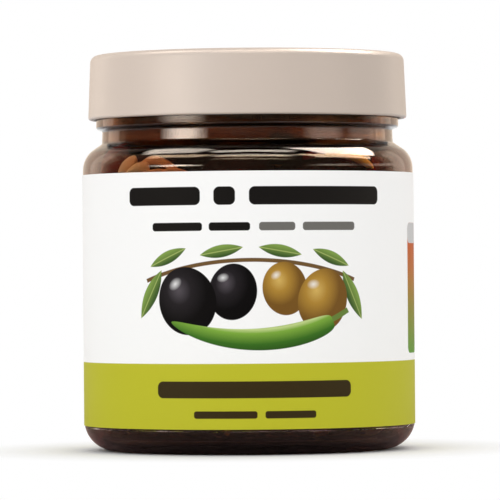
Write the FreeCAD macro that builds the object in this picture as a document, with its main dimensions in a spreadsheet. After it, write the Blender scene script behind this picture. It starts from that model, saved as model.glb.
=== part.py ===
import FreeCAD, Part
import math
import os
import Sketcher

# A squat round jar of pickled olives and chillies: a pressed glass jar, a moulded screw lid,
# a wrap label, the fruit packed inside and the spiced oil over it. Millimetres, +Z up, the
# origin at the centre of the base, the label's front towards -Y.

doc = FreeCAD.newDocument("PickleJar")

# ---------------------------------------------------------------- driving dimensions
DIMENSIONS = [
    ("total_height", 82.2, "base to the top of the lid"),
    ("body_dia", 68.8, "glass over the label panel"),
    ("wall", 2.2, "glass of the body and shoulder"),
    ("base_wall", 1.8, "glass between push-up and floor"),
    ("push_up", 1.0, "hollow under the base, at its centre"),
    ("foot_width", 2.4, "bearing ring that the jar stands on"),
    ("heel_height", 5.2, "taper from the base to the panel"),
    ("heel_taper", 1.2, "how far the heel draws in"),
    ("heel_round", 6.3, "outside radius of the heel"),
    ("floor_round", 4.0, "inside radius at the floor"),
    ("shoulder_slope", 57.0, "degrees off the vertical"),
    ("shoulder_round", 5.2, "outside radius of the shoulder"),
    ("neck_dia", 60.65, "glass under the bead"),
    ("neck_length", 2.65, "straight neck between shoulder and bead"),
    ("neck_round", 0.5, "radius where neck and shoulder meet"),
    ("bead_proud", 1.2, "bead beyond the neck"),
    ("bead_drop", 1.85, "bead that shows below the lid"),
    ("bead_land", 2.4, "height of the bead's outer face"),
    ("bead_flank", 0.5, "height of the bead's sloped sides"),
    ("bead_round", 0.45, "radius of the bead's edges"),
    ("finish_step", 0.3, "finish inside the neck's outline"),
    ("finish_wall", 2.2, "glass of the finish"),
    ("rim_round", 0.6, "radius of the rim's edges"),
    ("lid_height", 13.4, "skirt and plate together"),
    ("lid_plate", 1.6, "thickness of the lid's top"),
    ("lid_wall", 1.35, "thickness of the lid's skirt"),
    ("lid_gap", 0.35, "clearance between bead and skirt"),
    ("lid_draft", 0.55, "skirt narrower at the top, per side"),
    ("lid_top_round", 1.5, "radius of the lid's top edge"),
    ("lid_hem_round", 0.5, "radius of the skirt's lower edge"),
    ("lid_inside_round", 0.8, "radius between plate and skirt"),
    ("paper", 0.15, "thickness of the label"),
    ("label_margin", 1.0, "label short of the shoulder"),
    ("label_foot", 0.1, "label clear of the heel"),
    ("label_gap", 9.0, "bare glass between the label's ends"),
    ("pack_drop", 0.4, "packed level below the shoulder's inside bend"),
    ("headspace", 19.4, "air between oil and lid"),
    ("fruit_dia", 17.0, "usual fruit, across"),
    ("fruit_length", 20.0, "usual fruit, along"),
    ("fruit_rise", -1.6, "middle of the highest fruit above the packed level"),
    ("fruit_inset", 9.4, "middles of the outer fruit inside the mouth's edge"),
    ("fruit_aside", 1.9, "middle fruit off the jar's axis"),
    ("fruit_unlike", 0.14, "how far fruit differ in size, as a share of it"),
    ("fruit_tip", 16.0, "degrees that a fruit may lie off level"),
    ("fruit_sink", 3.0, "how much lower than the highest a top fruit may lie"),
]

sheet = doc.addObject("Spreadsheet::Sheet", "dim")
for row, (alias, value, meaning) in enumerate(DIMENSIONS, start=1):
    sheet.set(f"A{row}", meaning)
    sheet.set(f"B{row}", str(value))
    sheet.setAlias(f"B{row}", alias)
doc.recompute()

# ---------------------------------------------------------------- worked out from them
# radii
BODY_R = "dim.body_dia / 2"
NECK_R = "dim.neck_dia / 2"
INSIDE_R = f"({BODY_R} - dim.wall)"
BEAD_R = f"({NECK_R} + dim.bead_proud)"
FINISH_R = f"({NECK_R} - dim.finish_step)"
MOUTH_R = f"({FINISH_R} - dim.finish_wall)"
SKIRT_INSIDE_R = f"({BEAD_R} + dim.lid_gap)"
SKIRT_R = f"({SKIRT_INSIDE_R} + dim.lid_wall)"
HEEL_R = f"({BODY_R} - dim.heel_taper)"
PUSH_UP_R = f"({HEEL_R} - dim.heel_round - dim.foot_width)"

# heights, from the lid down
RIM_Z = "(dim.total_height - dim.lid_plate)"
HEM_Z = "(dim.total_height - dim.lid_height)"
BEAD_LOW_Z = f"({HEM_Z} - dim.bead_drop)"
BEAD_HIGH_Z = f"({BEAD_LOW_Z} + dim.bead_land)"
NECK_HIGH_Z = f"({BEAD_LOW_Z} - dim.bead_flank)"
NECK_LOW_Z = f"({NECK_HIGH_Z} - dim.neck_length)"
SHOULDER_Z = f"({NECK_LOW_Z} - ({BODY_R} - {NECK_R}) / tan(dim.shoulder_slope))"
FLOOR_Z = "(dim.push_up + dim.base_wall)"

# the inside of the shoulder runs parallel to the outside, one wall further in
WALL_ACROSS = "dim.wall / cos(dim.shoulder_slope)"
INSIDE_NECK_Z = f"({NECK_LOW_Z} - ({MOUTH_R} - {NECK_R} + {WALL_ACROSS}) / tan(dim.shoulder_slope))"
INSIDE_SHOULDER_Z = f"({NECK_LOW_Z} - ({INSIDE_R} - {NECK_R} + {WALL_ACROSS}) / tan(dim.shoulder_slope))"

# label and filling
LABEL_LOW_Z = "(dim.heel_height + dim.label_foot)"
LABEL_HIGH_Z = f"({SHOULDER_Z} - dim.shoulder_round * tan(dim.shoulder_slope / 2) - dim.label_margin)"
INSIDE_BEND = "(dim.shoulder_round - dim.wall)"
PACK_Z = f"({INSIDE_SHOULDER_Z} - {INSIDE_BEND} * tan(dim.shoulder_slope / 2) - dim.pack_drop)"
OIL_Z = f"({RIM_Z} - dim.headspace)"
FRUIT_RING = f"({MOUTH_R} - dim.fruit_inset)"


def size(expression):
    """The number that an expression on the sheet stands for."""
    return float(sheet.evalExpression(str(expression)))


# ---------------------------------------------------------------- modelling steps
def origin_plane(body, role):
    return next(plane for plane in body.Origin.OriginFeatures if plane.Role == role)


def upright_sketch(body, name):
    """A sketch on the XZ plane: x is the distance from the axis, y the height."""
    sketch = body.newObject("Sketcher::SketchObject", name)
    sketch.AttachmentSupport = [(origin_plane(body, "XZ_Plane"), "")]
    sketch.MapMode = "FlatFace"
    return sketch


def place_corner(sketch, line, radius, height):
    """Tie the start of a line to a radius and a height; a radius of 0 is on the axis."""
    if radius == "0":
        sketch.addConstraint(Sketcher.Constraint("PointOnObject", line, 1, -2))
    else:
        across = sketch.addConstraint(Sketcher.Constraint("DistanceX", -1, 1, line, 1, size(radius)))
        sketch.setExpression(f"Constraints[{across}]", radius)
    if height == "0":
        sketch.addConstraint(Sketcher.Constraint("PointOnObject", line, 1, -1))
    else:
        up = sketch.addConstraint(Sketcher.Constraint("DistanceY", -1, 1, line, 1, size(height)))
        sketch.setExpression(f"Constraints[{up}]", height)


def outline(body, name, corners):
    """A closed outline of straight runs through (radius, height) corners."""
    sketch = upright_sketch(body, name)
    spots = [FreeCAD.Vector(size(radius), size(height), 0) for radius, height in corners]
    count = len(spots)
    for number in range(count):
        sketch.addGeometry(Part.LineSegment(spots[number], spots[(number + 1) % count]), False)
    for number in range(count):
        sketch.addConstraint(Sketcher.Constraint("Coincident", number, 2, (number + 1) % count, 1))
    for number, (radius, height) in enumerate(corners):
        place_corner(sketch, number, radius, height)
    return sketch


def spin(body, kind, name, sketch, angle="360"):
    """Turn an outline about the upright axis: a Revolution adds, a Groove cuts."""
    solid_before = body.Tip
    feature = body.newObject(f"PartDesign::{kind}", name)
    feature.Profile = sketch
    feature.ReferenceAxis = (sketch, ["V_Axis"])
    feature.Midplane = True
    feature.setExpression("Angle", angle)
    body.Tip = feature
    doc.recompute()
    if kind == "Groove" and feature.Shape.Volume >= solid_before.Shape.Volume:
        raise ValueError(f"{name} cuts nothing")
    return feature


def rings_at(feature, places):
    """The names of a feature's circular edges at the given (radius, height) places."""
    names = []
    for radius, height in places:
        for number, edge in enumerate(feature.Shape.Edges, start=1):
            if not isinstance(edge.Curve, Part.Circle):
                continue
            same_radius = abs(edge.Curve.Radius - size(radius)) < 1e-4
            if same_radius and abs(edge.Curve.Center.z - size(height)) < 1e-4:
                names.append(f"Edge{number}")
    if len(names) < len(places):
        raise ValueError(f"{feature.Name} has no edge at one of {places}")
    return names


def round_off(body, name, places, radius):
    """Fillet the rings of the body's last feature at the given places."""
    sharp = body.Tip
    fillet = body.newObject("PartDesign::Fillet", name)
    fillet.Base = (sharp, rings_at(sharp, places))
    fillet.setExpression("Radius", radius)
    body.Tip = fillet
    doc.recompute()
    return fillet


def new_body(label):
    body = doc.addObject("PartDesign::Body", label)
    body.Label = label
    return body


# ---------------------------------------------------------------- inside of the glass
def inside_outline(body, name, low, high):
    """The jar's inside between two levels: body wall, sloped shoulder and mouth."""
    corners = [("0", low), (INSIDE_R, low), (INSIDE_R, INSIDE_SHOULDER_Z)]
    corners += [(MOUTH_R, INSIDE_NECK_Z), (MOUTH_R, high), ("0", high)]
    return outline(body, name, corners)


def round_inside_shoulder(body, name):
    """The inside shoulder keeps the same wall round the bends of the outside."""
    round_off(body, f"{name}_bend", [(INSIDE_R, INSIDE_SHOULDER_Z)], INSIDE_BEND)
    round_off(body, f"{name}_throat", [(MOUTH_R, INSIDE_NECK_Z)], "dim.neck_round + dim.wall")


# ---------------------------------------------------------------- jar
def make_jar():
    """Pressed glass: tapered heel, straight panel, sloped shoulder, short neck with a
    carrying bead, and a plain finish whose flat rim the lid seals on."""
    body = new_body("jar")
    corners = [("0", "0"), (HEEL_R, "0"), (BODY_R, "dim.heel_height"), (BODY_R, SHOULDER_Z)]
    corners += [(NECK_R, NECK_LOW_Z), (NECK_R, NECK_HIGH_Z), (BEAD_R, BEAD_LOW_Z)]
    corners += [(BEAD_R, BEAD_HIGH_Z), (FINISH_R, f"{BEAD_HIGH_Z} + dim.bead_flank")]
    corners += [(FINISH_R, RIM_Z), ("0", RIM_Z)]
    spin(body, "Revolution", "glass_blank", outline(body, "glass_outline", corners))
    round_off(body, "heel", [(HEEL_R, "0")], "dim.heel_round")
    round_off(body, "shoulder", [(BODY_R, SHOULDER_Z)], "dim.shoulder_round")
    round_off(body, "neck_foot", [(NECK_R, NECK_LOW_Z)], "dim.neck_round")
    round_off(body, "bead_edges", [(BEAD_R, BEAD_LOW_Z), (BEAD_R, BEAD_HIGH_Z)], "dim.bead_round")

    hollow = inside_outline(body, "hollow_outline", FLOOR_Z, RIM_Z)
    spin(body, "Groove", "hollow", hollow)
    round_off(body, "floor_edge", [(INSIDE_R, FLOOR_Z)], "dim.floor_round")
    round_inside_shoulder(body, "hollow")
    round_off(body, "rim", [(FINISH_R, RIM_Z), (MOUTH_R, RIM_Z)], "dim.rim_round")

    spin(body, "Groove", "base_push_up", push_up_outline(body))
    return body


def push_up_outline(body):
    """The dome pressed up under the base: one arc from the foot ring to the axis."""
    sketch = upright_sketch(body, "push_up_outline")
    reach = size(PUSH_UP_R)
    rise = size("dim.push_up")
    dome_r = (reach ** 2 + rise ** 2) / (2 * rise)
    circle = Part.Circle(FreeCAD.Vector(0, rise - dome_r, 0), FreeCAD.Vector(0, 0, 1), dome_r)
    foot_angle = math.atan2(dome_r - rise, reach)
    sketch.addGeometry(Part.ArcOfCircle(circle, foot_angle, math.pi / 2), False)
    sketch.addGeometry(Part.LineSegment(FreeCAD.Vector(0, rise, 0), FreeCAD.Vector(0, 0, 0)), False)
    sketch.addGeometry(Part.LineSegment(FreeCAD.Vector(0, 0, 0), FreeCAD.Vector(reach, 0, 0)), False)
    sketch.addConstraint(Sketcher.Constraint("Coincident", 0, 2, 1, 1))
    sketch.addConstraint(Sketcher.Constraint("Coincident", 1, 2, 2, 1))
    sketch.addConstraint(Sketcher.Constraint("Coincident", 2, 2, 0, 1))
    sketch.addConstraint(Sketcher.Constraint("Coincident", 1, 2, -1, 1))
    sketch.addConstraint(Sketcher.Constraint("PointOnObject", 0, 2, -2))
    sketch.addConstraint(Sketcher.Constraint("PointOnObject", 0, 3, -2))
    sketch.addConstraint(Sketcher.Constraint("PointOnObject", 0, 1, -1))
    across = sketch.addConstraint(Sketcher.Constraint("DistanceX", -1, 1, 0, 1, reach))
    sketch.setExpression(f"Constraints[{across}]", PUSH_UP_R)
    up = sketch.addConstraint(Sketcher.Constraint("DistanceY", -1, 1, 0, 2, rise))
    sketch.setExpression(f"Constraints[{up}]", "dim.push_up")
    return sketch


# ---------------------------------------------------------------- lid
def make_lid():
    """Moulded in one shot: a plate and a slightly drafted smooth skirt that clears the
    bead; the plate's underside sits on the rim of the glass."""
    body = new_body("lid")
    top_r = f"({SKIRT_R} - dim.lid_draft)"
    corners = [("0", HEM_Z), (SKIRT_R, HEM_Z), (top_r, "dim.total_height"), ("0", "dim.total_height")]
    spin(body, "Revolution", "lid_blank", outline(body, "lid_outline", corners))
    round_off(body, "lid_top_edge", [(top_r, "dim.total_height")], "dim.lid_top_round")
    cavity = [("0", HEM_Z), (SKIRT_INSIDE_R, HEM_Z), (SKIRT_INSIDE_R, RIM_Z), ("0", RIM_Z)]
    spin(body, "Groove", "lid_cavity", outline(body, "cavity_outline", cavity))
    round_off(body, "lid_corner", [(SKIRT_INSIDE_R, RIM_Z)], "dim.lid_inside_round")
    round_off(body, "lid_hem", [(SKIRT_R, HEM_Z)], "dim.lid_hem_round")
    return body


# ---------------------------------------------------------------- label
def make_label():
    """Paper wrapped round the panel, its two ends a finger's width apart at the back."""
    body = new_body("label")
    outside_r = f"({BODY_R} + dim.paper)"
    corners = [(BODY_R, LABEL_LOW_Z), (outside_r, LABEL_LOW_Z)]
    corners += [(outside_r, LABEL_HIGH_Z), (BODY_R, LABEL_HIGH_Z)]
    wrap_angle = f"360 - dim.label_gap / ({BODY_R}) * 180 / pi"
    spin(body, "Revolution", "wrap", outline(body, "paper_section", corners), wrap_angle)
    front = FreeCAD.Rotation(FreeCAD.Vector(0, 0, 1), -90)
    body.Placement = FreeCAD.Placement(FreeCAD.Vector(0, 0, 0), front)
    return body


# ---------------------------------------------------------------- pickles
def unlike(number, step):
    """A number from -1 to 1 that goes up and down from one fruit to the next."""
    return math.sin(step * (number + 1))


def make_fruit(number, ring_r, turn):
    """One fruit of the top layer, lying on its side; each differs a little from the next."""
    fruit = doc.addObject("Part::Ellipsoid", f"fruit_{number}")
    swell = f"(1 + dim.fruit_unlike * {unlike(number, 2.4):.3f})"
    fruit.setExpression("Radius1", f"dim.fruit_dia / 2 * {swell}")
    fruit.setExpression("Radius2", f"dim.fruit_length / 2 * {swell}")
    fruit.setExpression("Radius3", f"dim.fruit_dia / 2 * {swell}")
    lie = FreeCAD.Rotation(FreeCAD.Vector(0, 0, 1), turn + 90)
    tip_up = FreeCAD.Rotation(FreeCAD.Vector(0, 1, 0), size("dim.fruit_tip") * unlike(number, 3.1))
    fruit.Placement = FreeCAD.Placement(FreeCAD.Vector(0, 0, 0), lie * tip_up)
    fruit.setExpression("Placement.Base.x", f"{ring_r} * cos({turn})")
    fruit.setExpression("Placement.Base.y", f"{ring_r} * sin({turn})")
    lower = (1 - unlike(number, 1.9)) / 2
    fruit.setExpression("Placement.Base.z", f"{PACK_Z} + dim.fruit_rise - dim.fruit_sink * {lower:.3f}")
    return fruit


def make_pickles():
    """Fruit packed tight to the glass, with the rounded backs of the top layer standing
    out of the packed level."""
    packed = doc.addObject("PartDesign::Body", "packed_fruit")
    corners = [("0", FLOOR_Z), (INSIDE_R, FLOOR_Z), (INSIDE_R, PACK_Z), ("0", PACK_Z)]
    spin(packed, "Revolution", "packed_mass", outline(packed, "packed_outline", corners))
    round_off(packed, "packed_foot", [(INSIDE_R, FLOOR_Z)], "dim.floor_round")
    outer_fruit = 6
    first_turn = 12
    backs = []
    for number in range(outer_fruit):
        backs.append(make_fruit(number, FRUIT_RING, first_turn + number * 360 / outer_fruit))
    backs.append(make_fruit(outer_fruit, "dim.fruit_aside", first_turn + 28))
    pickles = doc.addObject("Part::MultiFuse", "pickles")
    pickles.Shapes = [packed] + backs
    pickles.Label = "pickles"
    doc.recompute()
    return pickles


# ---------------------------------------------------------------- oil
def make_oil(pickles):
    """Spiced oil from the packed level to its own level in the shoulder, lying between the
    backs of the top fruit, the highest of which stand out of it."""
    filled = doc.addObject("PartDesign::Body", "oil_over_fruit")
    spin(filled, "Revolution", "oil_mass", inside_outline(filled, "oil_outline", PACK_Z, RIM_Z))
    round_inside_shoulder(filled, "oil")
    air = [("0", OIL_Z), (INSIDE_R, OIL_Z), (INSIDE_R, RIM_Z), ("0", RIM_Z)]
    spin(filled, "Groove", "oil_level", outline(filled, "air_outline", air))
    oil = doc.addObject("Part::Cut", "oil")
    oil.Base = filled
    oil.Tool = pickles
    oil.Label = "oil"
    doc.recompute()
    return oil


# ---------------------------------------------------------------- build, check and write
jar = make_jar()
lid = make_lid()
label = make_label()
pickles = make_pickles()
oil = make_oil(pickles)
pieces = [jar, lid, label, pickles, oil]
doc.recompute()

for item in doc.Objects:
    if {"Invalid", "Error"} & set(item.State):
        raise ValueError(f"{item.Name} failed: {item.State}")
for piece in pieces:
    if piece.Shape.isNull() or not piece.Shape.isValid() or len(piece.Shape.Solids) != 1:
        raise ValueError(f"{piece.Label} is not one valid solid")

os.makedirs("parts", exist_ok=True)
for piece in pieces:
    piece.Shape.exportStep(f"parts/{piece.Label}.step")
    box = piece.Shape.optimalBoundingBox()
    reach = f"z {box.ZMin:.2f} to {box.ZMax:.2f}, across {box.XLength:.2f}"
    print(f"{piece.Label}: {piece.Shape.Volume / 1000:.2f} ml, {reach}")
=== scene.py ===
import math
import random

import bmesh
import bpy
import numpy
from mathutils import Matrix, Vector, noise


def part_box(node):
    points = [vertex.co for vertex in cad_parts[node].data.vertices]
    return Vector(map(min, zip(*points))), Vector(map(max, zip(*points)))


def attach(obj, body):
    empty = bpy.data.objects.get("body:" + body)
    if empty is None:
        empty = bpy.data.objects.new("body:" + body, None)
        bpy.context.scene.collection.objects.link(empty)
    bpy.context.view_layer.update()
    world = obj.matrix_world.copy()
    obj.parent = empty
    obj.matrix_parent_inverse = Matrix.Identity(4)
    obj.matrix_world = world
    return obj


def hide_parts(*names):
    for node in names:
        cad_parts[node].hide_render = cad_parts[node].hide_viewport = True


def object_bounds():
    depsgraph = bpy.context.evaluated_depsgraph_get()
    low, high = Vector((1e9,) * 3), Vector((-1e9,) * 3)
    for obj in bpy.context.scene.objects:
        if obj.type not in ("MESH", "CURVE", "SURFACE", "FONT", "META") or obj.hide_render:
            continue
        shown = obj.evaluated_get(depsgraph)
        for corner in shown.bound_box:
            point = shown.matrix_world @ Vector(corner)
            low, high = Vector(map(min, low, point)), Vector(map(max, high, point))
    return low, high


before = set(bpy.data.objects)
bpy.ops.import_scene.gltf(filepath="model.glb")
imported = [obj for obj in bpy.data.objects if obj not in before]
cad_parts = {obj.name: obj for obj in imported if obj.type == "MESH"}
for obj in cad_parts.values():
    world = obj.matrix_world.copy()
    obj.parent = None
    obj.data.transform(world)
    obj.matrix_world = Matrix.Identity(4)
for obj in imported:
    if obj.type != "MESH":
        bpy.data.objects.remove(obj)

cad_low, cad_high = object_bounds()


# ---------------------------------------------------------------- glass jar
# A squat pressed jar of clear flint glass: thick heel on a bearing ring, straight label
# panel, short sloped shoulder, neck with a carrying bead and a finish that the lid hides.
# Pressed glass is never quite even, so its inside waves a little more than its outside.

def rounded(corners, bends=12, brace=0.00012):
    """The points of an outline through (radius, height, rounding) corners, in order.

    Each bend is braced by a point a little way out on the straight runs beside it, so that
    smooth shading stays flat there.
    """
    points = []
    for place, (radius, height, rounding) in enumerate(corners):
        here = Vector((radius, height))
        if not rounding:
            points.append(here)
            continue
        back = (Vector(corners[place - 1][:2]) - here).normalized()
        onward = (Vector(corners[(place + 1) % len(corners)][:2]) - here).normalized()
        half = back.angle(onward) / 2
        centre = here + (back + onward).normalized() * rounding / math.sin(half)
        reach = rounding / math.tan(half)
        first, last = here + back * reach - centre, here + onward * reach - centre
        turn = first.angle(last)
        points.append(centre + first + back * brace)
        for bend in range(bends + 1):
            share = bend / bends
            spoke = first * math.sin((1 - share) * turn) + last * math.sin(share * turn)
            points.append(centre + spoke / math.sin(turn))
        points.append(centre + last + onward * brace)
    return points


def to_object(name, points, faces, smooth=True):
    """A mesh object with its faces turned outward."""
    mesh = bpy.data.meshes.new(name)
    mesh.from_pydata(points, [], faces)
    tidy = bmesh.new()
    tidy.from_mesh(mesh)
    bmesh.ops.recalc_face_normals(tidy, faces=tidy.faces)
    tidy.to_mesh(mesh)
    tidy.free()
    mesh.polygons.foreach_set("use_smooth", [smooth] * len(mesh.polygons))
    made = bpy.data.objects.new(name, mesh)
    bpy.context.scene.collection.objects.link(made)
    return made


def turned(name, run, around=224, uneven=None, closed=False):
    """Turn an outline about the upright axis. A point on the axis becomes a pole."""
    points, rings = [], []
    for radius, height in run:
        if radius < 1e-7:
            rings.append([len(points)] * around)
            points.append((0, 0, height))
            continue
        rings.append(range(len(points), len(points) + around))
        for step in range(around):
            turn = 2 * math.pi * step / around
            way = Vector((math.cos(turn), math.sin(turn), 0))
            push = uneven(radius, height, way) if uneven else 0
            points.append(way * (radius + push) + Vector((0, 0, height)))
    pairs = list(zip(rings, rings[1:]))
    if closed:
        pairs.append((rings[-1], rings[0]))
    faces = []
    for one, other in pairs:
        for step in range(around):
            after = (step + 1) % around
            corners = (one[step], one[after], other[after], other[step])
            faces.append(tuple(dict.fromkeys(corners)))
    return to_object(name, points, faces)


jar_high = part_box("jar")[1]
lid_low, lid_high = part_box("lid")
body_r = jar_high.x
rim_z = jar_high.z
wall = 0.0022
heel_height = 0.0052
heel_taper = 0.0012
heel_r = body_r - heel_taper
heel_round = 0.0063
heel_blend = 0.003
foot_r = heel_r - heel_round
foot_width = 0.0024
foot_round = 0.0006
foot_rise = 0.00005
push_up = 0.0010
push_up_round = 0.020
floor_thick = 0.0018
floor_z = push_up + floor_thick
shoulder_slope = math.radians(57)
shoulder_round = 0.0052
neck_r = 0.030325
neck_height = 0.00265
neck_round = 0.0005
neck_top_round = 0.0004
neck_draft = 0.00006
bead_r = neck_r + 0.0012
bead_z = lid_low.z - 0.00185
bead_land = 0.0024
bead_flank = 0.0005
bead_round = 0.00045
neck_top = bead_z - bead_flank
neck_foot = neck_top - neck_height
shoulder_z = neck_foot - (body_r - neck_r) / math.tan(shoulder_slope)
inside_r = body_r - wall
finish_r = neck_r - 0.0003
finish_round = 0.0003
rim_round = 0.0006
mouth_r = finish_r - wall
across_slope = wall / math.cos(shoulder_slope)
throat_z = neck_foot - (mouth_r - neck_r + across_slope) / math.tan(shoulder_slope)
inside_shoulder_z = neck_foot - (inside_r - neck_r + across_slope) / math.tan(shoulder_slope)
inside_bend = shoulder_round - wall
throat_bend = neck_round + wall
floor_bend = 0.0040
glass_outline = rounded([
    (0, push_up, 0),
    ((foot_r - foot_width) * 0.55, push_up * 0.8, push_up_round),
    (foot_r - foot_width, foot_rise, foot_round),
    (foot_r, 0, 0),
    (heel_r, 0, heel_round),
    (body_r, heel_height, heel_blend),
    (body_r, shoulder_z, shoulder_round),
    (neck_r + neck_draft, neck_foot, neck_round),
    (neck_r - neck_draft, neck_top, neck_top_round),
    (bead_r, bead_z, bead_round),
    (bead_r, bead_z + bead_land, bead_round),
    (finish_r, bead_z + bead_land + bead_flank, finish_round),
    (finish_r, rim_z, rim_round),
    (mouth_r, rim_z, rim_round),
    (mouth_r, throat_z, throat_bend),
    (inside_r, inside_shoulder_z, inside_bend),
    (inside_r, floor_z, floor_bend),
    (0, floor_z, 0),
])


inside_swell = 0.00016
outside_swell = 0.00003
swells_round = 2.2
swells_up = 90
level_floor_r = 0.02


def pressed(radius, height, way):
    """How far the glass waves: long soft swells, deeper on the inside."""
    on_inside = radius < inside_r + 0.0003 and floor_z < height < rim_z - 0.001
    depth = inside_swell if on_inside and radius > level_floor_r else outside_swell
    spot = Vector((way.x * swells_round, way.y * swells_round, height * swells_up))
    return depth * noise.noise(spot + Vector((3.1, 0, 0)))


glass_jar = turned("glass_jar", glass_outline, uneven=pressed)


class Wire:
    """One output of a shader node, so that sums on it can be written as sums."""

    def __init__(self, nodes, socket):
        self.nodes = nodes
        self.socket = socket

    def maths(self, operation, *values):
        return self.nodes.node("Math", {"operation": operation}, dict(enumerate(values)))

    def __add__(self, other):
        return self.maths("ADD", self, other)

    def __sub__(self, other):
        return self.maths("SUBTRACT", self, other)

    def __rsub__(self, other):
        return self.maths("SUBTRACT", other, self)

    def __mul__(self, other):
        return self.maths("MULTIPLY", self, other)

    def __truediv__(self, other):
        return self.maths("DIVIDE", self, other)

    def __pow__(self, other):
        return self.maths("POWER", self, other)

    def __abs__(self):
        return self.maths("ABSOLUTE", self)

    def at_least(self, other):
        return self.maths("MAXIMUM", self, other)

    def at_most(self, other):
        return self.maths("MINIMUM", self, other)

    def clipped(self):
        return self.at_least(0).at_most(1)

    __radd__ = __add__
    __rmul__ = __mul__


class Nodes:
    """A node tree that is filled a node at a time."""

    def __init__(self, owner):
        owner.use_nodes = True
        self.tree = owner.node_tree
        self.tree.nodes.clear()

    def node(self, kind, settings=None, sockets=None, output=0):
        """Add a node: its settings first, then the values or wires of its sockets."""
        made = self.tree.nodes.new("ShaderNode" + kind)
        for name, value in (settings or {}).items():
            if name == "stops":
                self.set_stops(made.color_ramp, value)
            else:
                setattr(made, name, value)
        for name, value in (sockets or {}).items():
            if isinstance(value, Wire):
                self.tree.links.new(value.socket, made.inputs[name])
            else:
                made.inputs[name].default_value = value
        return Wire(self, made.outputs[output])

    def set_stops(self, ramp, stops):
        ramp.elements[0].position, ramp.elements[0].color = stops[0]
        ramp.elements[1].position, ramp.elements[1].color = stops[-1]
        for position, colour in stops[1:-1]:
            ramp.elements.new(position).color = colour

    def end(self, kind, socket, wire):
        """Lead a wire to the tree's output node."""
        outputs = [node for node in self.tree.nodes if node.type == "OUTPUT_" + kind.upper()]
        output = outputs[0] if outputs else self.tree.nodes.new("ShaderNodeOutput" + kind)
        self.tree.links.new(wire.socket, output.inputs[socket])


class Finish(Nodes):
    """The material of one kind of surface."""

    def __init__(self, name):
        self.material = bpy.data.materials.new(name)
        super().__init__(self.material)

    def place(self):
        """Where a point is on the object, in metres."""
        return self.node("TexCoord", output="Object")

    def grain(self, scale, detail=2.0, roughness=0.5, vector=None):
        sockets = {"Vector": vector or self.place(), "Scale": scale, "Detail": detail}
        return self.node("TexNoise", {}, {**sockets, "Roughness": roughness})

    def ramp(self, factor, *stops):
        return self.node("ValToRGB", {"stops": stops}, {"Fac": factor})

    def mix(self, factor, one, other):
        settings = {"data_type": "RGBA"}
        return self.node("Mix", settings, {0: factor, 6: one, 7: other}, output=2)

    def bump(self, height, depth, strength=1.0):
        return self.node("Bump", {}, {"Height": height, "Distance": depth, "Strength": strength})

    def surface(self, **sockets):
        named = {name.replace("_", " "): value for name, value in sockets.items()}
        self.shader = self.node("BsdfPrincipled", {}, named)
        self.end("Material", "Surface", self.shader)
        return self


def colour(red, green, blue):
    """A linear colour from the 0 to 255 numbers that a paint chart gives."""
    def linear(value):
        share = value / 255
        return share / 12.92 if share <= 0.04045 else ((share + 0.055) / 1.055) ** 2.4
    return (linear(red), linear(green), linear(blue), 1.0)


def dress(piece, finish, slot, *nodes):
    """Give a piece its material, let it ride with the jar and stand for its solids."""
    piece.data.materials.append(finish.material)
    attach(piece, "root")
    if nodes:
        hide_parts(*nodes)


flint = Finish("flint_glass")
flint_swell = flint.grain(55, detail=1.0)
flint.surface(
    Base_Color=(1, 1, 1, 1),
    Roughness=flint.grain(400) * 0.03,
    IOR=1.5,
    Transmission_Weight=1.0,
    Normal=flint.bump(flint_swell, 0.00008),
)
smoke = flint.node("VolumeAbsorption", {}, {"Color": (0.80, 0.66, 0.46, 1), "Density": 230.0})
flint.end("Material", "Volume", smoke)
dress(glass_jar, flint, "glass", "jar")


# ---------------------------------------------------------------- screw lid
# One moulding of beige polypropylene: a flat plate and a smooth, slightly drafted skirt.
# The surface is spark-eroded satin, a little cloudy from the moulding.

lid_r = lid_high.x
lid_draft = 0.00055
lid_gap = 0.00035
top_round = 0.0015
hem_round = 0.0005
hem_inside_round = 0.0002
lid_inside_round = 0.0008
skirt_inside_r = bead_r + lid_gap
lid_outline = rounded([
    (0, lid_high.z, 0),
    (lid_r - lid_draft, lid_high.z, top_round),
    (lid_r, lid_low.z, hem_round),
    (skirt_inside_r, lid_low.z, hem_inside_round),
    (skirt_inside_r, rim_z, lid_inside_round),
    (0, rim_z, 0),
])
screw_lid = turned("screw_lid", lid_outline)

moulding = Finish("beige_moulding")
cloudy = moulding.grain(18, detail=3.0)
fine_grain = moulding.grain(2600, detail=1.0)
moulding.surface(
    Base_Color=moulding.mix(cloudy, colour(191, 176, 164), colour(196, 182, 171)),
    Roughness=0.32 + 0.10 * moulding.grain(300),
    Specular_IOR_Level=0.7,
    Normal=moulding.bump(fine_grain + 2.0 * moulding.grain(160, detail=1.0), 0.00002),
)
dress(screw_lid, moulding, "lid", "lid")


# ---------------------------------------------------------------- wrap label
# Coated paper wrapped round the panel with its ends just apart at the back. It is printed
# in flat fields: white above, a lime band below, plain bars where words would stand, a
# picture of olives, a chilli and leaves, and a heat gauge on the right-hand side.

label_low, label_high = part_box("label")
label_r = label_high.x
label_gap = 0.009
label_corner = 0.0012
into_body = 0.00003
label_inner_r = body_r - into_body


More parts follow.
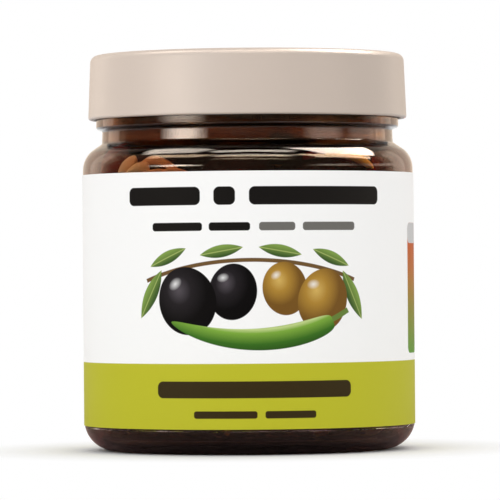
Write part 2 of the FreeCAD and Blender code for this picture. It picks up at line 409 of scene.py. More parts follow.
def wrapped(name, around=256, up=24):
    """The paper: a bent sheet with thickness, its corners a little rounded."""
    reach = math.pi - label_gap / 2 / body_r
    corner = label_corner
    points, faces = [], []
    for side_r in (label_r, label_inner_r):
        for column in range(around + 1):
            turn = reach * (2 * column / around - 1)
            from_end = (reach - abs(turn)) * body_r
            trim = 0
            if from_end < corner:
                trim = corner - math.sqrt(corner ** 2 - (corner - from_end) ** 2)
            for row in range(up + 1):
                low, high = label_low.z + trim, label_high.z - trim
                height = low + (high - low) * row / up
                points.append((side_r * math.sin(turn), -side_r * math.cos(turn), height))
    tall = up + 1
    back = (around + 1) * tall
    for column in range(around):
        for row in range(up):
            first = column * tall + row
            face = (first, first + tall, first + tall + 1, first + 1)
            faces.append(face)
            faces.append(tuple(back + corner_point for corner_point in reversed(face)))
    for column in range(around):
        for row in (0, up):
            first = column * tall + row
            faces.append((first, first + tall, back + first + tall, back + first))
    for column in (0, around):
        for row in range(up):
            first = column * tall + row
            faces.append((first, first + 1, back + first + 1, back + first))
    return to_object(name, points, faces)


wrap_label = wrapped("wrap_label")
wrap_label.data.set_sharp_from_angle(angle=math.radians(40))

print_white = colour(252, 252, 251)
print_lime = colour(191, 190, 44)
print_black = colour(22, 20, 18)
print_grey = colour(112, 110, 106)
print_brown = colour(58, 46, 18)

paper = Finish("printed_paper")
on_paper = paper.place()
paper_x, paper_y, paper_z = [
    paper.node("SeparateXYZ", {}, {0: on_paper}, output=axis) for axis in ("X", "Y", "Z")
]
# the print is laid out in millimetres: along from the middle of the front, up from the base
along = paper_x.maths("ARCTAN2", paper_x, 0 - paper_y) * (label_r * 1000)
up = paper_z * 1000
ink_edge = 0.12


def inked(distance):
    """1 inside a shape and 0 outside it, from the distance past its edge."""
    return (0.5 - distance / ink_edge).clipped()


def bar(left, right, low, high, corner):
    """A rounded bar on the label."""
    past_side = abs(along - (left + right) / 2) - ((right - left) / 2 - corner)
    past_end = abs(up - (low + high) / 2) - ((high - low) / 2 - corner)
    outside = (past_side.at_least(0) ** 2 + past_end.at_least(0) ** 2) ** 0.5
    inside = past_side.at_least(past_end).at_most(0)
    return inked(outside + inside - corner)


def tilted(x, y, degrees):
    """Distances from a point of the label along two axes turned by an angle."""
    cos, sin = math.cos(math.radians(degrees)), math.sin(math.radians(degrees))
    aside, above = along - x, up - y
    return aside * cos + above * sin, above * cos - aside * sin


def oval(x, y, wide, tall, degrees=0):
    """How far out a point is from the middle (0) to the edge (1) of an oval."""
    aside, above = tilted(x, y, degrees)
    return ((aside / (wide / 2)) ** 2 + (above / (tall / 2)) ** 2) ** 0.5


def printed_olive(ground, x, y, wide, tall, degrees, dark, middle, light):
    """A round olive: dark rim, lit upper left, a small soft glint."""
    out = oval(x, y, wide, tall, degrees)
    lit = oval(x - wide * 0.14, y + tall * 0.16, wide * 0.95, tall * 0.95, degrees)
    body = paper.ramp(lit, (0.0, light), (0.45, middle), (1.0, dark))
    shine = oval(x - wide * 0.2, y + tall * 0.25, wide * 0.26, tall * 0.16, degrees + 25)
    body = paper.mix((1 - shine).clipped() * 0.75, body, print_white)
    return paper.mix(inked((out - 1) * (wide / 2)), ground, body)


def printed_leaf(ground, x, y, long, degrees, dark, light):
    """A lance-shaped leaf with a pale midrib."""
    aside, above = tilted(x, y, degrees)
    taper = 1 - (aside / (long / 2)) ** 2
    edge = abs(above) - taper * (long * 0.14)
    rib = inked(abs(above) - 0.1) * 0.6
    blade = paper.mix((above / (long * 0.2) + 0.5).clipped(), dark, light)
    blade = paper.mix(rib, blade, colour(190, 205, 120))
    return paper.mix(inked(edge), ground, blade)


def bent(x, y, bend_r):
    """Along and across an arc through a point: a smile, or a frown if bend_r is negative."""
    out = ((along - x) ** 2 + (up - (y + bend_r)) ** 2) ** 0.5
    rise = (y + bend_r) - up if bend_r > 0 else up - (y + bend_r)
    turn = along.maths("ARCTAN2", along - x, rise) * abs(bend_r)
    return turn, (bend_r - out if bend_r > 0 else out + bend_r)


def printed_chilli(ground, x, y, bend_r, long, thick):
    """A whole green chilli, blunt at the stalk and fine at the tip."""
    turn, from_middle = bent(x, y, bend_r)
    share = (turn / long + 0.5).clipped()
    half = (share ** 0.55) * ((1 - share) ** 0.22) * (thick / 2 * 1.12)
    body = paper.ramp(
        from_middle / thick + 0.5,
        (0.0, colour(28, 62, 18)), (0.35, colour(58, 112, 30)),
        (0.68, colour(126, 172, 62)), (0.8, colour(196, 216, 140)), (1.0, colour(70, 122, 40)),
    )
    stalk_turn, stalk_middle = bent(x, y + 0.4, bend_r)
    stalk = (abs(stalk_turn - (long / 2 + 1.6)) - 2.4).at_least(abs(stalk_middle) - 0.55)
    ground = paper.mix(inked(stalk), ground, colour(104, 132, 58))
    return paper.mix(inked((abs(from_middle) - half).at_least(abs(turn) - long / 2)), ground, body)


def printed_twig(ground, x, y, bend_r, long, thick, brown):
    """A thin bent twig of one colour."""
    turn, from_middle = bent(x, y, bend_r)
    outside = (abs(from_middle) - thick / 2).at_least(abs(turn) - long / 2)
    return paper.mix(inked(outside), ground, brown)


# the two fields, then rows of bars: foot, top, corner, ink, and where each bar starts and ends
band_top = 18.55
print_layers = paper.mix(inked(up - band_top), print_white, print_lime)
bar_rows = [
    (50.5, 54.2, 1.2, print_black, [(-26.6, -9.8), (-7.0, -2.6), (0.2, 30.0)]),
    (45.3, 47.0, 0.6, print_black, [(-20.5, -9.4), (-8.0, 0.4)]),
    (45.3, 47.0, 0.6, print_grey, [(2.2, 9.6), (11.2, 23.2)]),
    (11.6, 15.0, 1.2, print_brown, [(-19.5, 22.0)]),
    (7.5, 9.0, 0.5, print_brown, [(-11.4, 1.6), (3.2, 13.8)]),
]
for bar_foot, bar_top, corner, ink, ends in bar_rows:
    for left, right in ends:
        shape = bar(left, right, bar_foot, bar_top, corner)
        print_layers = paper.mix(shape, print_layers, ink)

# the picture: an olive sprig over a whole chilli, each leaf by its middle, length and tilt
print_layers = printed_twig(print_layers, 0.5, 39.4, -64.0, 46.0, 0.8, colour(112, 84, 48))
leaf_dark, leaf_light = colour(62, 92, 40), colour(128, 158, 74)
for x, y, long, degrees in [(-21.0, 32.6, 11, 62), (-17.0, 40.0, 9, 24), (-5.5, 41.2, 9, 10),
                            (6.5, 41.2, 9, -10), (17.5, 39.8, 9, -22), (22.6, 32.2, 11, -64)]:
    print_layers = printed_leaf(print_layers, x, y, long, degrees, leaf_dark, leaf_light)
black_tones = colour(8, 7, 9), colour(34, 30, 34), colour(84, 78, 84)
amber_tones = colour(120, 84, 30), colour(176, 134, 52), colour(214, 178, 96)
print_layers = printed_olive(print_layers, -3.2, 33.0, 9.8, 11.4, -8, *black_tones)
print_layers = printed_olive(print_layers, 7.4, 33.6, 9.2, 10.8, 8, *amber_tones)
print_layers = printed_olive(print_layers, -12.8, 31.2, 12.4, 13.8, 16, *black_tones)
print_layers = printed_olive(print_layers, 15.6, 31.2, 11.0, 12.8, -16, *amber_tones)
print_layers = printed_chilli(print_layers, 0.8, 23.4, 42.0, 35.0, 6.6)

# the heat gauge and its pale cap
gauge_left, gauge_right = 43.2, 51.5
gauge_low, gauge_high = 20.0, 46.9
gauge_corner = 1.4
cap_height = 4.2
gauge_share = ((up - gauge_low) / (gauge_high - gauge_low)).clipped()
gauge_fill = paper.ramp(
    gauge_share,
    (0.0, colour(98, 158, 52)), (0.35, colour(148, 140, 44)),
    (0.65, colour(190, 108, 38)), (1.0, colour(208, 78, 28)),
)
gauge = bar(gauge_left, gauge_right, gauge_low, gauge_high, gauge_corner)
print_layers = paper.mix(gauge, print_layers, gauge_fill)
cap = bar(gauge_left, gauge_right, gauge_high - cap_height, gauge_high, gauge_corner)
print_layers = paper.mix(cap, print_layers, colour(204, 204, 204))

coat_grain = paper.grain(900, detail=2.0)
paper.surface(
    Base_Color=print_layers,
    Roughness=0.50 + 0.12 * paper.grain(120),
    Specular_IOR_Level=0.10,
    Normal=paper.bump(coat_grain + 3 * paper.grain(45, detail=1.0), 0.00002),
)
dress(wrap_label, paper, "label", "label")


# ---------------------------------------------------------------- spiced oil
# Mustard oil stained red-brown by chilli, standing in the shoulder. Its skin reaches a hair
# into the glass, so that no air shows between, and climbs a little at the wall.

into_glass = 0.00015
oil_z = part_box("oil")[1].z
climb = 0.0003
meniscus = 0.0015
meniscus_steps = 8
below_rim = 0.0008
outline_step = 0.0006


def with_steps(run, step):
    """The same outline with its straight runs cut into short steps."""
    points = []
    for one, other in zip(run, run[1:]):
        count = max(1, math.ceil((other - one).length / step))
        points += [one.lerp(other, part / count) for part in range(count)]
    return points + [run[-1]]


def inside_line(gap):
    """The inside of the glass from the middle of the floor to the rim, a gap in from it."""
    return with_steps(rounded([
        (0, floor_z + gap, 0),
        (inside_r - gap, floor_z + gap, floor_bend),
        (inside_r - gap, inside_shoulder_z, inside_bend),
        (mouth_r - gap, throat_z, throat_bend),
        (mouth_r - gap, rim_z - below_rim, 0),
    ]), outline_step)


def parted(run, height):
    """A rising outline as two: the part below a height and the part above it."""
    count = sum(1 for point in run if point.y < height)
    last, following = run[count - 1], run[count]
    crossing = last.lerp(following, (height - last.y) / (following.y - last.y))
    return run[:count] + [crossing], [crossing] + run[count:]


def follow_glass(radius, height, way):
    """The same waves as the inside of the glass, for what lies against it."""
    hair = 0.0001
    return pressed(inside_r - hair, max(height, floor_z + hair), way)


oil_outline = parted(inside_line(-into_glass), oil_z + climb)[0]
oil_edge = oil_outline[-1].x
for step in range(1, meniscus_steps + 1):
    share = step / meniscus_steps
    oil_outline.append(Vector((oil_edge - meniscus * share, oil_z + climb * (1 - share) ** 2)))
oil_outline.append(Vector((0, oil_z)))
spiced_oil = turned("spiced_oil", oil_outline, uneven=follow_glass)

oil = Finish("mustard_oil")
oil.surface(
    Base_Color=(1, 1, 1, 1),
    Roughness=oil.grain(80) * 0.02,
    IOR=1.12,
    Transmission_Weight=1.0,
)
depth_of_colour = oil.node("VolumeAbsorption", {}, {"Color": (0.80, 0.36, 0.10, 1), "Density": 420.0})
oil.end("Material", "Volume", depth_of_colour)
dress(spiced_oil, oil, "oil", "oil")


# ---------------------------------------------------------------- film of oil
# Above the oil the glass is coated inside with what ran down when the jar was last tipped: a
# thin brown skin of oil and ground spice, drawn out level round the neck in finer streaks.

film_deep = 0.0001
film_outline = parted(inside_line(-into_glass), oil_z + climb)[1]
film_outline += reversed(parted(inside_line(film_deep), oil_z + climb)[1])
oil_film = turned("oil_film", film_outline, uneven=follow_glass, closed=True)

film = Finish("oil_and_spice_film")
level = film.node("VectorMath", {"operation": "MULTIPLY"}, {0: film.place(), 1: (1, 1, 16)})
streaks = film.grain(46, detail=4.0, roughness=0.6, vector=level)
blotches = film.grain(75, detail=2.0)
film.surface(
    Base_Color=film.ramp(streaks * 0.65 + blotches * 0.35,
                         (0.36, colour(104, 54, 10)), (0.5, colour(142, 88, 28)),
                         (0.62, colour(186, 134, 62))),
    Roughness=0.04 + 0.10 * streaks,
    IOR=1.46,
    Transmission_Weight=1.0,
    Normal=film.bump(streaks, 0.0002),
)
dress(oil_film, film, "oil")


# ---------------------------------------------------------------- packed fruit
# Whole black and green-amber olives packed against the glass with slices and rings of chilli
# between them, in a mash of ground spice. The mash is the core that they are bedded in.

pack_seed = 11
smallest_olive, largest_olive = 0.0074, 0.0090
olive_long = 1.16
fruit_count = 32
fruit_clear = 0.0002


def wall_r(height):
    """The inside radius of the glass at a height above the floor's bend."""
    run = inside_line(0)
    for one, other in zip(run, run[1:]):
        if one.y <= height < other.y and one.x > mouth_r - 0.001:
            return one.lerp(other, (height - one.y) / (other.y - one.y)).x
    return mouth_r


def around_jar(azimuth, out, height):
    """A place in the jar. Azimuth 0 is the middle of the label, 90 is on its right."""
    turn = math.radians(azimuth)
    return Vector((out * math.sin(turn), -out * math.cos(turn), height))


def settle(fixed, count, rng, rounds=500):
    """Drop balls of fruit under the given ones and push them apart until packed."""
    loose = [rng.uniform(smallest_olive, largest_olive) for _ in range(count)]
    size = numpy.array([ball[1] for ball in fixed] + loose)
    spot = numpy.array([tuple(ball[0]) for ball in fixed] + [
        (rng.uniform(-0.02, 0.02), rng.uniform(-0.02, 0.02), floor_z + 0.01 + 0.0010 * number)
        for number in range(count)
    ])
    held = spot[:len(fixed)].copy()
    fall, push = 0.00012, 0.35
    for _ in range(rounds):
        spot[:, 2] -= fall
        gap = spot[:, None, :] - spot[None, :, :]
        apart = numpy.linalg.norm(gap, axis=2) + numpy.eye(len(size))
        overlap = numpy.clip(size[:, None] + size[None, :] - apart, 0, None)
        overlap[numpy.diag_indices(len(size))] = 0
        spot += (gap / apart[:, :, None] * overlap[:, :, None]).sum(axis=1) * push
        out = numpy.linalg.norm(spot[:, :2], axis=1)
        room = inside_r - fruit_clear - size
        spot[:, :2] *= numpy.minimum(1, room / numpy.maximum(out, 1e-6))[:, None]
        spot[:, 2] = numpy.maximum(spot[:, 2], floor_z + fruit_clear + size)
        spot[:len(fixed)] = held
    return spot, size


def olive_shell(rng, rings=18, around=26):
    """One olive of about unit radius: longer than wide, dimpled at the stalk, faintly lumpy."""
    shift = Vector((rng.uniform(0, 50), rng.uniform(0, 50), rng.uniform(0, 50)))
    stretch = olive_long * rng.uniform(0.94, 1.08)
    points, faces = [], []
    for ring in range(rings + 1):
        tilt = math.pi * ring / rings
        dimple = 0.13 * math.exp(-(tilt / 0.2) ** 2)
        nipple = 0.05 * math.exp(-((math.pi - tilt) / 0.22) ** 2)
        for step in range(around if 0 < ring < rings else 1):
            turn = 2 * math.pi * step / around
            point = Vector((math.sin(tilt) * math.cos(turn), math.sin(tilt) * math.sin(turn),
                            math.cos(tilt) * (stretch + nipple) - dimple))
            points.append(point * (1 + 0.035 * noise.noise(point * 1.6 + shift)))

    def index(ring, step):
        if ring == 0:
            return 0
        if ring == rings:
            return len(points) - 1
        return 1 + (ring - 1) * around + step % around

    for ring in range(rings):
        for step in range(around):
            corners = (index(ring, step), index(ring, step + 1),
                       index(ring + 1, step + 1), index(ring + 1, step))
            faces.append(tuple(dict.fromkeys(corners)))
    return points, faces


def joined(name, shells):
    """One mesh object from many (points, faces, placement) shells."""
    points, faces = [], []
    for shell_points, shell_faces, placement in shells:
        start = len(points)
        points += [placement @ Vector(point) for point in shell_points]
        faces += [tuple(start + corner for corner in face) for face in shell_faces]
    return to_object(name, points, faces)


def lying(spot, size, rng):
    """Place a shell at a spot with a random lie, mostly along the wall."""
    turn = math.atan2(spot[1], spot[0])
    lie = Matrix.Rotation(turn, 4, "Z") @ Matrix.Rotation(rng.uniform(-1.2, 1.2), 4, "X")
    roll = Matrix.Rotation(rng.uniform(-0.25, 0.25), 4, "Y")
    return Matrix.Translation(spot) @ lie @ roll @ Matrix.Diagonal((size, size, size, 1))


# the topmost olives are laid one by one: azimuth, distance out, height, radius, colour
crown = [
    (-44, 0.0228, 0.0512, 0.0080, "black"),
    (-7, 0.0230, 0.0531, 0.0083, "black"),
    (33, 0.0230, 0.0529, 0.0082, "black"),
    (74, 0.0232, 0.0488, 0.0080, "amber"),
    (-88, 0.0232, 0.0486, 0.0080, "black"),
    (118, 0.0230, 0.0508, 0.0082, "black"),
    (161, 0.0230, 0.0524, 0.0080, "amber"),
    (-156, 0.0230, 0.0518, 0.0083, "black"),
    (-119, 0.0232, 0.0506, 0.0078, "amber"),
    (-60, 0.0086, 0.0561, 0.0082, "black"),
    (62, 0.0088, 0.0564, 0.0084, "black"),
    (180, 0.0092, 0.0556, 0.0082, "black"),
]
rng = random.Random(pack_seed)
fixed = [(around_jar(azimuth, out, height), size) for azimuth, out, height, size, tone in crown]
spots, sizes = settle(fixed, fruit_count, rng)
ball_to_olive = 0.97 / 1.04
highest_loose = 0.0600
black_shells, amber_shells = [], []
for number in range(len(sizes)):
    points, faces = olive_shell(rng)
    shell = (points, faces, lying(Vector(spots[number]), ball_to_olive * sizes[number], rng))
    if number < len(crown):
        is_black = crown[number][4] == "black"
    else:
        is_black = number % 5 in (0, 2)
        if spots[number][2] + sizes[number] > highest_loose:
            continue
    (black_shells if is_black else amber_shells).append(shell)

black_olives = joined("black_olives", black_shells)
amber_olives = joined("amber_olives", amber_shells)


def fruit_skin(name, dark, light, freckle):
    """Skin or flesh in oil: each piece its own shade, finely freckled, with no gloss of its own."""
    skin = Finish(name)
    each = skin.node("NewGeometry", output="Random Per Island")
    mottle = skin.grain(160, detail=4.0)
    base = skin.mix((each * 0.7 + mottle * 0.5).clipped(), dark, light)
    speck = (skin.grain(1100, detail=1.0) - 0.62).clipped() * 6
    base = skin.mix(speck.clipped() * 0.5, base, freckle)
    return skin.surface(
        Base_Color=base,
        Roughness=0.26 + 0.2 * mottle,
        Specular_IOR_Level=0.0,
        Normal=skin.bump(skin.grain(700, detail=2.0), 0.00008),
    )


dress(black_olives, fruit_skin("black_olive_skin", colour(26, 14, 14), colour(62, 34, 30),
                               colour(90, 60, 50)), "pickles")
dress(amber_olives, fruit_skin("amber_olive_skin", colour(134, 92, 40), colour(206, 168, 96),
                               colour(222, 190, 130)), "pickles")


# slices of chilli: long curved strips of flesh that lie along the glass
def tube_faces(rows, around, closed=False):
    """The faces of a tube made of rows of points, where each row runs round it."""
    faces = []
    for row in range(rows if closed else rows - 1):
        onward = (row + 1) % rows
        for step in range(around):
            after = (step + 1) % around
            faces.append((row * around + step, row * around + after,
                          onward * around + after, onward * around + step))
    return faces


def strip_shell(spine, wide, thick, along_count=22, around=14):
    """A strip of flesh along a spine of points, lens-shaped across and pointed at its ends."""
    points = []
    for step in range(along_count + 1):
        share = step / along_count * (len(spine) - 1)
        first = min(int(share), len(spine) - 2)
        before, here = spine[max(first - 1, 0)], spine[first]
        onward, beyond = spine[first + 1], spine[min(first + 2, len(spine) - 1)]
        t = share - first
        middle = 0.5 * (2 * here + (onward - before) * t
                        + (2 * before - 5 * here + 4 * onward - beyond) * t ** 2
                        + (3 * here - before - 3 * onward + beyond) * t ** 3)
        ahead = (onward - here).normalized()
        outward = Vector((middle.x, middle.y, 0)).normalized()
        across = ahead.cross(outward).normalized()
        outward = across.cross(ahead).normalized()
        taper = max(0.06, math.sin(math.pi * (0.04 + 0.92 * step / along_count)) ** 0.45)
        for corner in range(around):
            turn = 2 * math.pi * corner / around
            points.append(middle + across * (math.cos(turn) * wide / 2 * taper)
                          + outward * (math.sin(turn) * thick / 2 * taper))
    faces = tube_faces(along_count + 1, around)
    faces.append(tuple(range(around)))
    faces.append(tuple(along_count * around + corner for corner in range(around)))
    return points, faces


def laid_strip(wide, thick, *stops):
    """A strip against the glass, through (azimuth, height, distance in from the glass) stops."""
    spine = [around_jar(azimuth, wall_r(height) - clear, height) for azimuth, height, clear in stops]
    return (*strip_shell(spine, wide, thick), upright)


def seed_shell(middle, size, rings=7, around=10, flat=1.0):
    """A small seed: a ball, or a flattened disc that faces outward."""
    outward = Vector((middle.x, middle.y, 0)).normalized()
    side = Vector((0, 0, 1)).cross(outward)
    points = []
    for ring in range(rings + 1):
        tilt = math.pi * ring / rings
        for step in range(around):
            turn = 2 * math.pi * step / around
            points.append(middle + size * (outward * (math.cos(tilt) * flat)
                                           + side * (math.sin(tilt) * math.cos(turn))
                                           + Vector((0, 0, math.sin(tilt) * math.sin(turn)))))
    return points, tube_faces(rings + 1, around)


def ring_shell(middle, size, rng, around=30, section=12):
    """A cut ring of chilli that lies against the glass: a wavy band of flesh."""
    outward = Vector((middle.x, middle.y, rng.uniform(-0.006, 0.006))).normalized()
    side = Vector((0, 0, 1)).cross(outward).normalized()
    rise = outward.cross(side)
    flesh, tall = size * 0.24, size * 0.42
    shift = rng.uniform(0, 50)
    points = []
    for step in range(around):
        turn = 2 * math.pi * step / around
        way = side * math.cos(turn) + rise * math.sin(turn)
        wave = 1 + 0.10 * noise.noise(Vector((math.cos(turn) * 1.4 + shift, math.sin(turn) * 1.4, 0)))
        for corner in range(section):
            bend = 2 * math.pi * corner / section
            points.append(middle + way * (size * wave - flesh + flesh * math.cos(bend))
                          + outward * (tall / 2 * math.sin(bend)))
    return points, tube_faces(around, section, closed=True)


upright = Matrix.Identity(4)
red_shells = [
    laid_strip(0.0064, 0.0014, (-65, 0.0550, 0.0013), (-60, 0.0582, 0.0010), (-54, 0.0612, 0.0016)),
    laid_strip(0.0013, 0.0010, (21, 0.0597, 0.0016), (26, 0.0604, 0.0015), (31, 0.0601, 0.0020)),
    laid_strip(0.0030, 0.0012, (50, 0.0562, 0.0016), (56, 0.0588, 0.0016), (62, 0.0570, 0.0020)),
]
pale_shells = [
    laid_strip(0.0024, 0.0010, (-54, 0.0558, 0.0010), (-51, 0.0582, 0.0010), (-46, 0.0600, 0.0014)),
    laid_strip(0.0026, 0.0010, (-52, 0.0552, 0.0007), (-45, 0.0576, 0.0007), (-39, 0.0586, 0.0014)),
    laid_strip(0.0022, 0.0010, (-47, 0.0554, 0.0007), (-40, 0.0566, 0.0009), (-32, 0.0574, 0.0018)),
    laid_strip(0.0016, 0.0010, (-44, 0.0588, 0.0018), (-37, 0.0596, 0.0020), (-28, 0.0580, 0.0026)),
    laid_strip(0.0020, 0.0010, (-37, 0.0560, 0.0014), (-30, 0.0572, 0.0018), (-22, 0.0566, 0.0026)),
]
green_shells = [
    laid_strip(0.0015, 0.0014, (30, 0.0604, 0.0022), (40, 0.0604, 0.0016),
               (50, 0.0588, 0.0016), (58, 0.0562, 0.0020)),
]


def clearance(middle):
    """How far a point is from the skin of the nearest olive."""
    return min((Vector(spots[number]) - middle).length - sizes[number] for number in range(len(sizes)))


# rings of chilli go where the olives leave most room, each with a few seeds, and mustard seeds
# are strewn all round
ring_count = 18
ring_tries = 60
seeds_to_a_ring = 4
seed_size = 0.00125
mustard_count = 260
by_glass = 0.0306
seed_shells = []
for number in range(ring_count):
    tries = []
    for attempt in range(ring_tries):
        height = rng.uniform(floor_z + 0.006, 0.0545)
        azimuth = rng.uniform(-180, 180)
        tries.append((clearance(around_jar(azimuth, by_glass, height)), azimuth, height))
    clear, azimuth, height = max(tries)
    middle = around_jar(azimuth, by_glass, height)
    size = rng.uniform(0.0042, 0.0058)
    (red_shells if number % 3 == 0 else green_shells).append((*ring_shell(middle, size, rng), upright))
    for seed in range(seeds_to_a_ring):
        off = around_jar(azimuth + rng.uniform(-5, 5), by_glass, height + rng.uniform(-0.002, 0.002))
        seed_shells.append((*seed_shell(off, seed_size, flat=0.35), upright))
mustard_shells = []
for number in range(mustard_count):
    height = rng.uniform(floor_z + 0.0015, 0.0560)
    middle = around_jar(rng.uniform(-180, 180), rng.uniform(0.0293, 0.0314), height)
    mustard_shells.append((*seed_shell(middle, rng.uniform(0.0005, 0.0008)), upright))

red_chilli = joined("red_chilli_slices", red_shells)
pale_slices = joined("pale_slices", pale_shells)
green_chilli = joined("green_chilli_slices", green_shells)
chilli_seeds = joined("chilli_seeds", seed_shells)
mustard_seeds = joined("mustard_seeds", mustard_shells)
flesh_tones = [
    (red_chilli, "red_chilli_flesh", (44, 3, 1), (118, 20, 6), (196, 92, 40)),
    (pale_slices, "pale_slice_flesh", (214, 176, 128), (248, 228, 190), (250, 240, 214)),
    (green_chilli, "green_chilli_flesh", (128, 112, 30), (214, 190, 96), (226, 210, 140)),
    (chilli_seeds, "chilli_seed_coat", (196, 160, 98), (226, 200, 146), (236, 216, 170)),
    (mustard_seeds, "mustard_seed_coat", (120, 66, 20), (196, 140, 48), (210, 170, 90)),
]
for piece, skin_name, *tones in flesh_tones:
    dress(piece, fruit_skin(skin_name, *[colour(*tone) for tone in tones]), "pickles")


# the mash that the fruit is bedded in, a little way in from the glass and crowned on top
mash_side = 0.0032
mash_r = inside_r - mash_side
mash_foot = floor_z + 0.0001
mash_edge_round = 0.0040
mash_outline = rounded([
    (0, mash_foot, 0),
    (mash_r, mash_foot, mash_edge_round),
    (mash_r, 0.0560, mash_edge_round),
    (0.0150, 0.0592, 0.0100),
    (0, 0.0600, 0),
], bends=16)


def lumpy(radius, height, way):
    """Coarse lumps of ground spice with finer ones on them."""
    spot = Vector((way.x * radius, way.y * radius, height))
    return -0.0006 + 0.0016 * noise.noise(spot * 260) + 0.0007 * noise.noise(spot * 900)


spice_mash = turned("spice_mash", with_steps(mash_outline, 0.0008), around=260, uneven=lumpy)
mash = Finish("ground_spice")
mash_tone = mash.grain(420, detail=6.0, roughness=0.7)
mash.surface(
    Base_Color=mash.ramp(mash_tone, (0.3, colour(26, 8, 5)), (0.5, colour(58, 22, 10)),
                         (0.62, colour(98, 44, 16)), (0.75, colour(150, 88, 34))),
    Roughness=0.35 + 0.3 * mash_tone,
    Specular_IOR_Level=0.0,
    Normal=mash.bump(mash_tone, 0.0006),
)
dress(spice_mash, mash, "pickles", "pickles")


# ---------------------------------------------------------------- studio
# A pale table under soft boxes. Low ones stand in the gloss of the neck, four high ones run
# along the shoulder, and two wide ones wash the matt faces; a third is flagged to the lid.

aim = Vector((0.0, 0.0, (cad_low.z + cad_high.z) / 2))
lamp_distance = 1.2


def softbox(name, azimuth, elevation, wide, tall, radiance, soft=0.3, matt=False):
    """An area lamp facing the jar, dimming to its edges, for gloss alone or matt faces alone.

    Azimuth 0 is the camera's side. The width and height are angles seen from the jar.
    """
    side, rise = math.radians(azimuth), math.radians(elevation)
    way = Vector((math.sin(side) * math.cos(rise), -math.cos(side) * math.cos(rise), math.sin(rise)))
    lamp = bpy.data.lights.new(name, "AREA")
    lamp.shape = "RECTANGLE"
    lamp.size = 2 * lamp_distance * math.tan(math.radians(wide / 2))
    lamp.size_y = 2 * lamp_distance * math.tan(math.radians(tall / 2))
    lamp.energy = radiance * math.pi * lamp.size * lamp.size_y
    lamp.color = (1.0, 1.0, 1.0) if matt else (1.0, 0.86, 0.73)
    cloth = Nodes(lamp)
    spread = cloth.node("NewGeometry", output="Parametric")
    falloff = 1
    for axis in (0, 1):
        from_edge = 1 - abs(cloth.node("SeparateXYZ", {}, {0: spread}, output=axis) * 2 - 1)
        falloff = falloff * (from_edge / soft).clipped()
    cloth.end("Light", "Surface", cloth.node("Emission", {}, {"Strength": falloff}))
    made = bpy.data.objects.new(name, lamp)
    made.location = aim + way * lamp_distance
    made.rotation_mode = "QUATERNION"
    made.rotation_quaternion = way.to_track_quat("Z", "Y")
    made.visible_camera = False
    made.visible_diffuse = matt
    made.visible_glossy = not matt
    made.visible_transmission = not matt
    bpy.context.scene.collection.objects.link(made)
    return made


def mirrored(azimuth, slope):
    """The way that the eye sees mirrored in a face turned to an azimuth and tipped up by a slope."""
    side, rise = math.radians(azimuth), math.radians(slope)
    face = Vector((math.sin(side) * math.cos(rise), -math.cos(side) * math.cos(rise), math.sin(rise)))
    eye = Vector((0, -1, -0.027))
    return (2 * face.dot(eye) * face - eye).normalized()


def glint(name, azimuths, slopes, radiance, soft=0.3):
    """A soft box that the faces of the shoulder between two azimuths and slopes show."""
    middle_side, middle_slope = sum(azimuths) / 2, sum(slopes) / 2
    ends = [mirrored(azimuth, middle_slope) for azimuth in azimuths]
    edges = [mirrored(middle_side, slope) for slope in slopes]
    way = mirrored(middle_side, middle_slope)
    lamp = softbox(name, math.degrees(math.atan2(way.x, -way.y)), math.degrees(math.asin(way.z)),
                   math.degrees(ends[0].angle(ends[1])), math.degrees(edges[0].angle(edges[1])),
                   radiance, soft)
    across = (ends[1] - ends[0]).normalized()
    above = way.cross(across).normalized()
    across = above.cross(way)
    lamp.rotation_quaternion = Matrix((across, above, way)).transposed().to_quaternion()


softbox("key_box", -52, 7, 44, 7, 16.0, soft=0.8)
softbox("fill_box", 62, 7, 42, 7, 2.4, soft=0.6)
softbox("fill_side", 104, 7, 44, 7, 1.4, soft=0.5)
softbox("rim_left", -131, 15, 24, 34, 0.9)
softbox("rim_right", 131, 15, 24, 34, 0.9)
glint("slope_right", (18, 50), (27, 50), 20.0, soft=0.12)
glint("slope_left", (-40, -13), (30, 43), 10.0)
glint("slope_front_high", (-15, 19), (31.5, 38), 11.0, soft=0.3)
glint("slope_front_low", (-15, 19), (22, 27), 7.0, soft=0.5)
softbox("wash_left", -44, 30, 50, 50, 0.82, matt=True)
softbox("wash_right", 40, 30, 50, 50, 0.20, matt=True)

# the third wash lights the lid alone, as if flags kept it off the jar
flagged = softbox("lid_wash", -42, 16, 50, 50, 1.9, matt=True)
lid_alone = bpy.data.collections.new("lit_by_lid_wash")
lid_alone.objects.link(screw_lid)
flagged.light_linking.receiver_collection = lid_alone

# the table is white to the eye away from the jar; near the jar it is painted dark red-brown for gloss
# and glass, a painted shade for the heel
reach = 6.0
table_corners = [(-reach, -reach, 0), (reach, -reach, 0), (reach, reach, 0), (-reach, reach, 0)]
table_top = to_object("table_top", table_corners, [(0, 1, 2, 3)], smooth=False)
table = Finish("pale_table")


def light_paths(nodes, *kinds):
    """The kinds of ray that a surface can answer to, by name."""
    return {kind: nodes.node("LightPath", output=f"Is {kind} Ray") for kind in kinds}


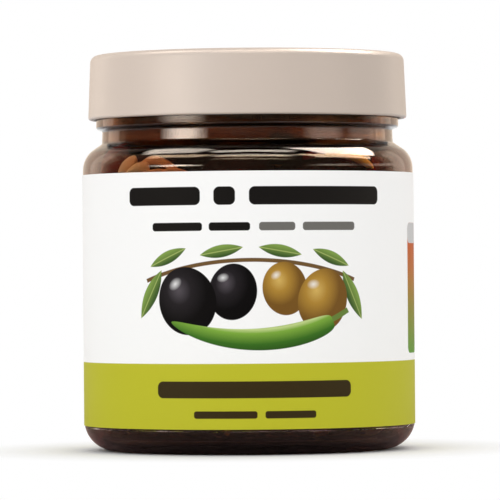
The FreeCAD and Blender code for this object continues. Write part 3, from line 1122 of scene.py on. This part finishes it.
ray = light_paths(table, "Camera", "Glossy", "Transmission")
mirrored_ray = ray["Glossy"].at_least(ray["Transmission"])
table_pale = table.mix(table.grain(30), colour(240, 240, 240), colour(244, 244, 244))
# painted shade: to glossy and transmission rays the table's colour turns dark red-brown, so the heel's
# reflection of it stays dark
table.surface(
    Base_Color=table.mix(mirrored_ray * 0.8, table_pale, colour(122, 54, 42)),
    Roughness=0.7,
    Specular_IOR_Level=0.2,
)
away = table.node("VectorMath", {"operation": "LENGTH"}, {0: table.place()}, output="Value")
near_start, near_reach = 0.033, 0.03
far_start, far_reach = 0.10, 0.30
near_fade = ((away - near_start) / near_reach).clipped() * ray["Camera"]
far_fade = ((away - far_start) / far_reach).clipped() * mirrored_ray
fade = near_fade.at_least(far_fade)
plain_white = table.node("Emission", {}, {"Color": (1, 1, 1, 1), "Strength": 1.0})
faded = table.node("MixShader", {}, {0: fade, 1: table.shader, 2: plain_white})
table.end("Material", "Surface", faded)
table_top.data.materials.append(table.material)

# the room is white to the eye, warm white behind the jar to gloss and through glass, dimmer in
# front, and an even light on matt surfaces
room = bpy.data.worlds.new("studio_room")
bpy.context.scene.world = room
walls = Nodes(room)
facing = walls.node("SeparateXYZ", {}, {0: walls.node("TexCoord", output="Generated")}, output="Y")
behind = ((facing - 0.30) / 0.5).clipped()
around = ((facing + 0.05) / 0.9).clipped()
ray = light_paths(walls, "Camera", "Glossy", "Transmission", "Diffuse")
through = ray["Transmission"] * around.at_least(0.26)
gloss = ray["Glossy"] * behind
on_matt = ray["Diffuse"] * 0.86
strength = ray["Camera"].at_least(through).at_least(gloss).at_least(on_matt)
seen_in_glass = ray["Glossy"].at_least(ray["Transmission"])
tint = walls.node("Mix", {"data_type": "RGBA"},
                  {0: seen_in_glass, 6: (1, 1, 1, 1), 7: (1.0, 0.83, 0.67, 1)}, output=2)
glow = walls.node("Background", {}, {"Color": tint, "Strength": strength})
walls.end("World", "Surface", glow)

bpy.context.scene.view_settings.view_transform = "Standard"

# the camera stands a little under a metre away, level with the middle of the jar, and tips
# to its right by a hair, so that the jar seems to lean
camera_distance = 0.90
camera_height = 0.037
camera_tip = math.radians(0.45)
camera_aside = 0.0003
width_in_view = 0.1044
sensor = 36.0
camera_data = bpy.data.cameras.new("camera")
camera_data.sensor_width = sensor
camera_data.lens = sensor * camera_distance / width_in_view
camera_data.shift_y = 0.0436
camera = bpy.data.objects.new("camera", camera_data)
camera.location = (camera_aside, -camera_distance, camera_height)
camera.rotation_euler = (math.radians(90), camera_tip, 0)
bpy.context.scene.collection.objects.link(camera)
bpy.context.scene.camera = camera
